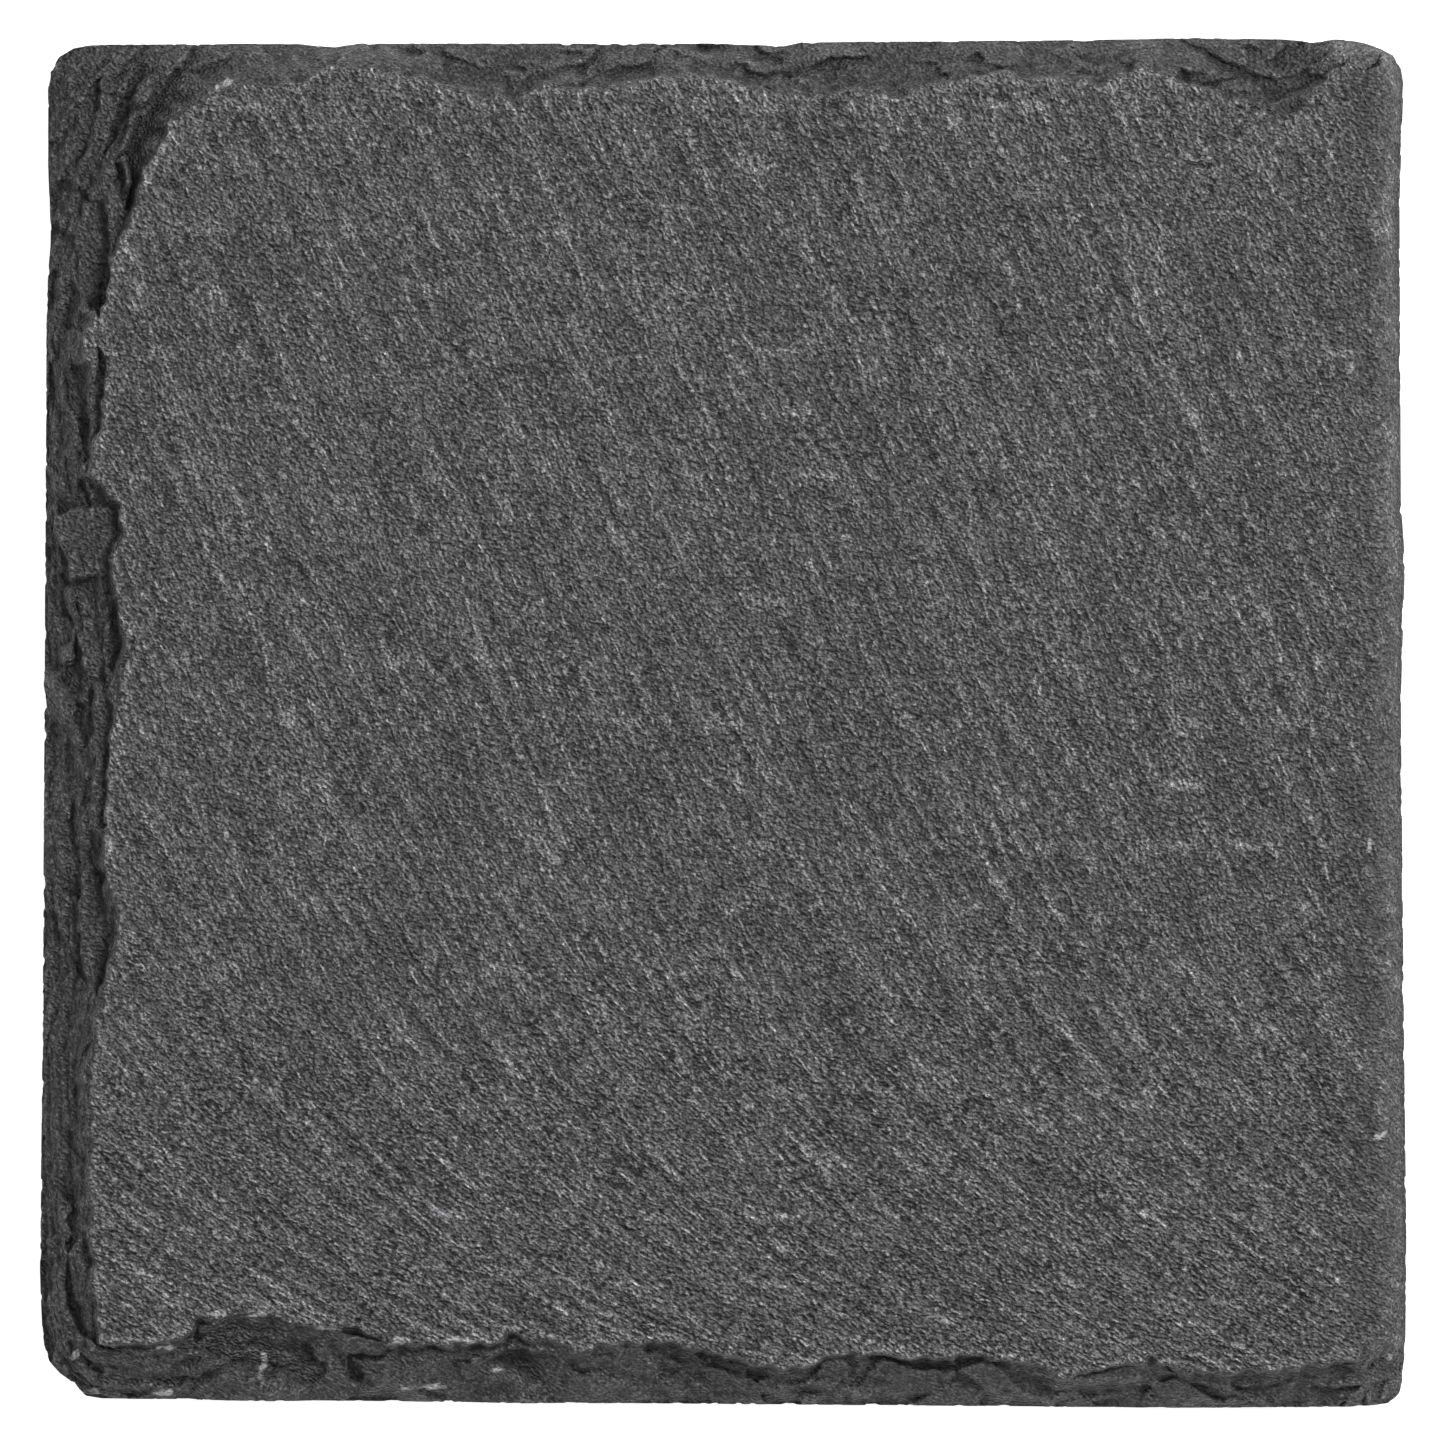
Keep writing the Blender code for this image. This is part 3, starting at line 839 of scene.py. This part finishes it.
class Nodes:
    """A material's node tree, with short calls for the nodes that the looks are made of."""

    def __init__(self, name):
        self.material = bpy.data.materials.new(name)
        self.material.use_nodes = True
        self.tree = self.material.node_tree
        self.shader = self.tree.nodes["Principled BSDF"]
        self.place = self.tree.nodes.new("ShaderNodeTexCoord").outputs["Object"]

    def link(self, source, socket):
        if isinstance(source, bpy.types.NodeSocket):
            self.tree.links.new(source, socket)
        else:
            socket.default_value = source

    def along_cleft(self, across, along):
        """Places across and along the cleft's streaks, for noise of about those sizes in millimetres."""
        node = self.tree.nodes.new("ShaderNodeVectorMath")
        node.operation = "MULTIPLY"
        attribute = self.tree.nodes.new("ShaderNodeAttribute")
        attribute.attribute_name = "cleft"
        self.link(attribute.outputs["Vector"], node.inputs[0])
        node.inputs[1].default_value = (1.0 / across, 1.0 / along, 0.0)
        return node.outputs["Vector"]

    def mapped(self, scale, turn=0.0):
        """Object coordinates in millimetres, turned back about Z and then scaled."""
        node = self.tree.nodes.new("ShaderNodeMapping")
        node.vector_type = "TEXTURE"
        self.link(self.place, node.inputs["Vector"])
        node.inputs["Rotation"].default_value = (0.0, 0.0, turn)
        node.inputs["Scale"].default_value = [MM / axis for axis in scale]
        return node.outputs["Vector"]

    def noise(self, vector, scale, detail=2.0, roughness=0.5):
        node = self.tree.nodes.new("ShaderNodeTexNoise")
        self.link(vector, node.inputs["Vector"])
        node.inputs["Scale"].default_value = scale
        node.inputs["Detail"].default_value = detail
        node.inputs["Roughness"].default_value = roughness
        return node.outputs["Fac"]

    def cells(self, vector, scale):
        node = self.tree.nodes.new("ShaderNodeTexVoronoi")
        self.link(vector, node.inputs["Vector"])
        node.inputs["Scale"].default_value = scale
        return node.outputs["Distance"]

    def span(self, value, low, high, to_low=0.0, to_high=1.0):
        """The value carried from one range to another, and held at its ends."""
        node = self.tree.nodes.new("ShaderNodeMapRange")
        node.clamp = True
        sockets = (value, low, high, to_low, to_high)
        for socket, source in zip(list(node.inputs)[:5], sockets):
            self.link(source, socket)
        return node.outputs["Result"]

    def maths(self, operation, first, second):
        node = self.tree.nodes.new("ShaderNodeMath")
        node.operation = operation
        self.link(first, node.inputs[0])
        self.link(second, node.inputs[1])
        return node.outputs["Value"]

    def mix(self, share, first, second):
        """A mix of two numbers."""
        node = self.tree.nodes.new("ShaderNodeMix")
        node.data_type = "FLOAT"
        self.link(share, node.inputs[0])
        self.link(first, node.inputs[2])
        self.link(second, node.inputs[3])
        return node.outputs[0]

    def colour(self, share, first, second, blend="MIX"):
        node = self.tree.nodes.new("ShaderNodeMix")
        node.data_type = "RGBA"
        node.blend_type = blend
        self.link(share, node.inputs[0])
        self.link(first, node.inputs[6])
        self.link(second, node.inputs[7])
        return node.outputs[2]

    def separate_y(self, vector):
        node = self.tree.nodes.new("ShaderNodeSeparateXYZ")
        self.link(vector, node.inputs["Vector"])
        return node.outputs["Y"]

    def facing_up(self):
        """1 where the surface faces up, and 0 where it is upright."""
        node = self.tree.nodes.new("ShaderNodeNewGeometry")
        axes = self.tree.nodes.new("ShaderNodeSeparateXYZ")
        self.link(node.outputs["Normal"], axes.inputs["Vector"])
        return self.maths("ABSOLUTE", axes.outputs["Z"], 0.0)

    def attribute(self, name):
        node = self.tree.nodes.new("ShaderNodeAttribute")
        node.attribute_name = name
        return node.outputs["Fac"]

    def bump(self, height, distance, under=None):
        """A bump of that height in millimetres, on top of another."""
        node = self.tree.nodes.new("ShaderNodeBump")
        node.inputs["Strength"].default_value = 1.0
        node.inputs["Distance"].default_value = distance * MM
        self.link(height, node.inputs["Height"])
        if under is not None:
            self.link(under, node.inputs["Normal"])
        return node.outputs["Normal"]

    def finish(self, colour, roughness, normal):
        self.link(colour, self.shader.inputs["Base Color"])
        self.link(roughness, self.shader.inputs["Roughness"])
        self.link(normal, self.shader.inputs["Normal"])
        return self.material


SLATE = (0.114, 0.114, 0.117, 1.0)
CHALK = (0.52, 0.52, 0.52, 1.0)
BROKEN_TONE = 0.55  # the broken edge's colour as a share of the face's
WORN_TONE = 0.75


def slate_look():
    look = Nodes("slate")
    broken = look.attribute("broken")
    worn = look.attribute("worn")
    bruised = look.attribute("bruised")
    relief_shade = look.attribute("relief_shade")
    plain = look.mapped((1.0, 1.0, 1.0))

    # Noise fields: grain, beads, threads, crests and bands along the cleft, marks and scales across it,
    # and layers in the broken edge and the walls.
    on_face = look.maths("SUBTRACT", 1.0, broken)
    wander = look.span(look.noise(plain, 0.16, detail=2.0), 0.3, 0.7, -9 * MM, 9 * MM)
    towards_front = look.span(look.maths("ADD", look.separate_y(look.place), wander), -18 * MM, -22 * MM)
    grain = look.noise(plain, 5.8, detail=1.0)
    beads_back = look.noise(look.mapped((1.0, 0.50, 1.0), math.radians(26.0)), 5.0, detail=0.0)
    beads_front = look.noise(look.mapped((1.0, 0.50, 1.0), math.radians(48.0)), 5.0, detail=0.0)
    beads = look.mix(towards_front, beads_back, beads_front)
    threads = look.noise(look.along_cleft(0.42, 1.3), 1.0, detail=1.0)
    crests = look.noise(look.along_cleft(1.3, 9.0), 1.0, detail=0.0)
    crests = look.maths("ABSOLUTE", look.maths("SUBTRACT", crests, 0.5), 0.0)
    bands = look.noise(look.along_cleft(1.5, 13.0), 1.0, detail=1.0)
    marks = look.noise(look.mapped((1.0, 0.42, 1.0), math.radians(74.0)), 4.4, detail=0.0)
    marked = look.noise(plain, 0.45, detail=1.0)
    scales = look.noise(look.mapped((1.0, 0.60, 1.0), math.radians(74.0)), 5.0, detail=0.0)
    layers = look.noise(look.mapped((0.30, 0.30, 4.0)), 1.7, detail=3.0, roughness=0.6)
    steep = look.span(look.facing_up(), 0.30, 0.70, 1.0, 0.0)
    dust = look.noise(plain, 1.1, detail=3.0, roughness=0.6)
    mottle = look.noise(plain, 0.12, detail=3.0)

    # How light the stone is: streaky grain on the face, layers on the broken edge and on steep faces, and
    # painted shade in hollows with a painted highlight on crests.
    texture = look.mix(0.50, grain, beads)
    contrast = look.mix(worn, look.mix(broken, look.mix(towards_front, 0.88, 1.0), 0.84), 0.66)
    tone = look.maths("POWER", look.maths("MULTIPLY", texture, 2.0), 3.3)
    crest_light = look.span(crests, 0.0, 0.03, 1.0, 0.0)
    light = look.maths("ADD", look.span(threads, 0.54, 0.74, 0.94, 1.6), crest_light)
    dark = look.maths("MULTIPLY", look.span(marks, 0.45, 0.35, 0.0, 0.70), look.span(marked, 0.48, 0.58))
    streaky = look.maths("MULTIPLY", look.maths("MULTIPLY", tone, light), look.maths("SUBTRACT", 1.0, dark))
    streaky = look.maths("MULTIPLY", streaky, look.span(bands, 0.34, 0.66, 0.80, 1.20))
    tone = look.mix(contrast, 1.0, look.mix(on_face, tone, streaky))
    tone = look.maths("MULTIPLY", tone, look.span(dust, 0.3, 0.7, 0.94, 1.06))
    tone = look.maths("MULTIPLY", tone, look.span(mottle, 0.3, 0.7, 0.98, 1.02))
    tone = look.maths("MULTIPLY", tone, look.mix(broken, 1.0, look.span(layers, 0.32, 0.68, 0.84, 1.16)))
    tone = look.maths("MULTIPLY", tone, look.mix(steep, 1.0, look.span(layers, 0.36, 0.64, 0.62, 1.60)))
    # Painted shade: darker where the surface sinks below its surroundings; painted highlight: lighter where
    # it stands above them.
    tone = look.maths("MULTIPLY", tone, look.span(relief_shade, -1.2, 1.2, 0.55, 1.5))
    tone = look.maths("MULTIPLY", tone, look.mix(worn, look.mix(broken, 1.0, BROKEN_TONE), WORN_TONE))
    colour = look.colour(1.0, SLATE, tone, "MULTIPLY")
    powder = look.maths("MULTIPLY", bruised, look.span(dust, 0.40, 0.52, 0.2, 1.0))
    colour = look.colour(powder, colour, CHALK)

    roughness = look.span(dust, 0.3, 0.7, 0.62, 0.80)
    bumps = look.bump(look.noise(plain, 1.6, detail=4.0, roughness=0.65), 0.12)
    bumps = look.bump(look.maths("MULTIPLY", layers, broken), 0.14, bumps)
    bumps = look.bump(look.mix(0.55, texture, scales), 0.95, bumps)
    return look.finish(colour, roughness, bumps)


def rubber_look():
    look = Nodes("foot_rubber")
    spread = look.noise(look.mapped((1.0, 1.0, 1.0)), 0.9, detail=3.0)
    colour = look.colour(spread, (0.014, 0.014, 0.015, 1.0), (0.026, 0.026, 0.027, 1.0))
    fine = look.noise(look.mapped((1.0, 1.0, 1.0)), 6.0, detail=2.0)
    return look.finish(colour, look.span(spread, 0.3, 0.7, 0.50, 0.68), look.bump(fine, 0.02))


def foam_look():
    look = Nodes("foam_tape")
    cells = look.cells(look.mapped((1.0, 1.0, 1.0)), 4.0)
    colour = look.colour(cells, (0.80, 0.80, 0.77, 1.0), (0.60, 0.60, 0.57, 1.0))
    return look.finish(colour, look.span(cells, 0.0, 1.0, 0.75, 0.92), look.bump(cells, 0.06))


# ---------------------------------------------------------------- pieces


def add_stone():
    points, kinds, quads, triangles = stone_mesh()
    points[:, 2] += STONE_BASE
    mesh = make_mesh("slate_stone", points * MM, quads, triangles)
    for column, name in enumerate(("broken", "worn", "bruised", "relief_shade")):
        attribute = mesh.attributes.new(name, "FLOAT", "POINT")
        attribute.data.foreach_set("value", kinds[:, column].astype(np.float32))
    cleft = np.column_stack([kinds[:, 4:], np.zeros(len(kinds))])
    attribute = mesh.attributes.new("cleft", "FLOAT_VECTOR", "POINT")
    attribute.data.foreach_set("vector", cleft.ravel().astype(np.float32))
    add_piece("slate_stone", mesh, slate_look(), "slate_slab")


def turned(profile, sides, wobble):
    """Points, quads and triangles of a shape turned about Z, closed at both ends of its profile."""
    turn = np.arange(sides) * 2 * math.pi / sides
    rings = []
    for radius, height in profile:
        reach = radius * (1.0 + wobble * np.sin(3 * turn + 9.0 * height) * np.sin(7 * turn))
        rings.append(np.column_stack([reach * np.cos(turn), reach * np.sin(turn), np.full(sides, height)]))
    index = np.arange(len(rings) * sides).reshape(len(rings), sides)
    beside = np.roll(index, -1, axis=1)
    quads = np.stack([index[:-1], beside[:-1], beside[1:], index[1:]], -1).reshape(-1, 4)
    ends = np.array([[0.0, 0.0, profile[0][1]], [0.0, 0.0, profile[-1][1]]])
    low, high = index.size, index.size + 1
    floor = np.column_stack([beside[0], index[0], np.full(sides, low)])
    roof = np.column_stack([index[-1], beside[-1], np.full(sides, high)])
    return np.vstack(rings + [ends]), quads, np.vstack([floor, roof])


def rounded(radius, height, bend, steps):
    """A quarter round from the underside of a disc up to its side."""
    turns = np.linspace(0.0, math.pi / 2, steps)
    return [(radius - bend + bend * math.sin(t), height + bend - bend * math.cos(t)) for t in turns]


def foot_profile(low, high, radius):
    """A moulded foot: a dished underside, a round lower rim, and a side that leans in to a small lip."""
    dish = [(0.1 * radius, low + 0.18), (0.45 * radius, low + 0.16), (0.62 * radius, low + 0.04)]
    flat = [(0.66 * radius, low), (0.86 * radius, low)]
    lip = [(0.95 * radius, high - 0.45), (0.955 * radius, high - 0.20), (0.93 * radius, high - 0.05)]
    return dish + flat + rounded(radius, low, 0.4, 6) + lip + [(0.90 * radius, high)]


def add_feet():
    rubber = rubber_look()
    foam = foam_look()
    for row in ("front", "back"):
        for side in ("left", "right"):
            foot_low, foot_high = (np.array(corner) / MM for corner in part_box(f"foot_{row}_{side}"))
            tape_low, tape_high = (np.array(corner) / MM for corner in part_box(f"tape_{row}_{side}"))
            middle = (foot_low + foot_high) / 2
            joint = (foot_high[2] + tape_low[2]) / 2  # where the foot and the tape meet
            radius = (foot_high[0] - foot_low[0]) / 2
            shape = turned(foot_profile(foot_low[2], joint, radius), 72, 0.0)
            place = np.array([middle[0], middle[1], 0.0])
            mesh = make_mesh(f"rubber_foot_{row}_{side}", (shape[0] + place) * MM, shape[1], shape[2])
            add_piece(mesh.name, mesh, rubber, f"foot_{row}_{side}")

            radius = (tape_high[0] - tape_low[0]) / 2
            levels = np.linspace(joint, STONE_BASE + 0.2, 6)
            bulge = [radius * (1.0 - 0.03 * math.sin(math.pi * i / 5)) for i in range(6)]
            shape = turned(list(zip(bulge, levels)), 96, 0.006)
            mesh = make_mesh(f"foam_disc_{row}_{side}", (shape[0] + place) * MM, shape[1], shape[2])
            add_piece(mesh.name, mesh, foam, f"tape_{row}_{side}")


add_stone()
add_feet()
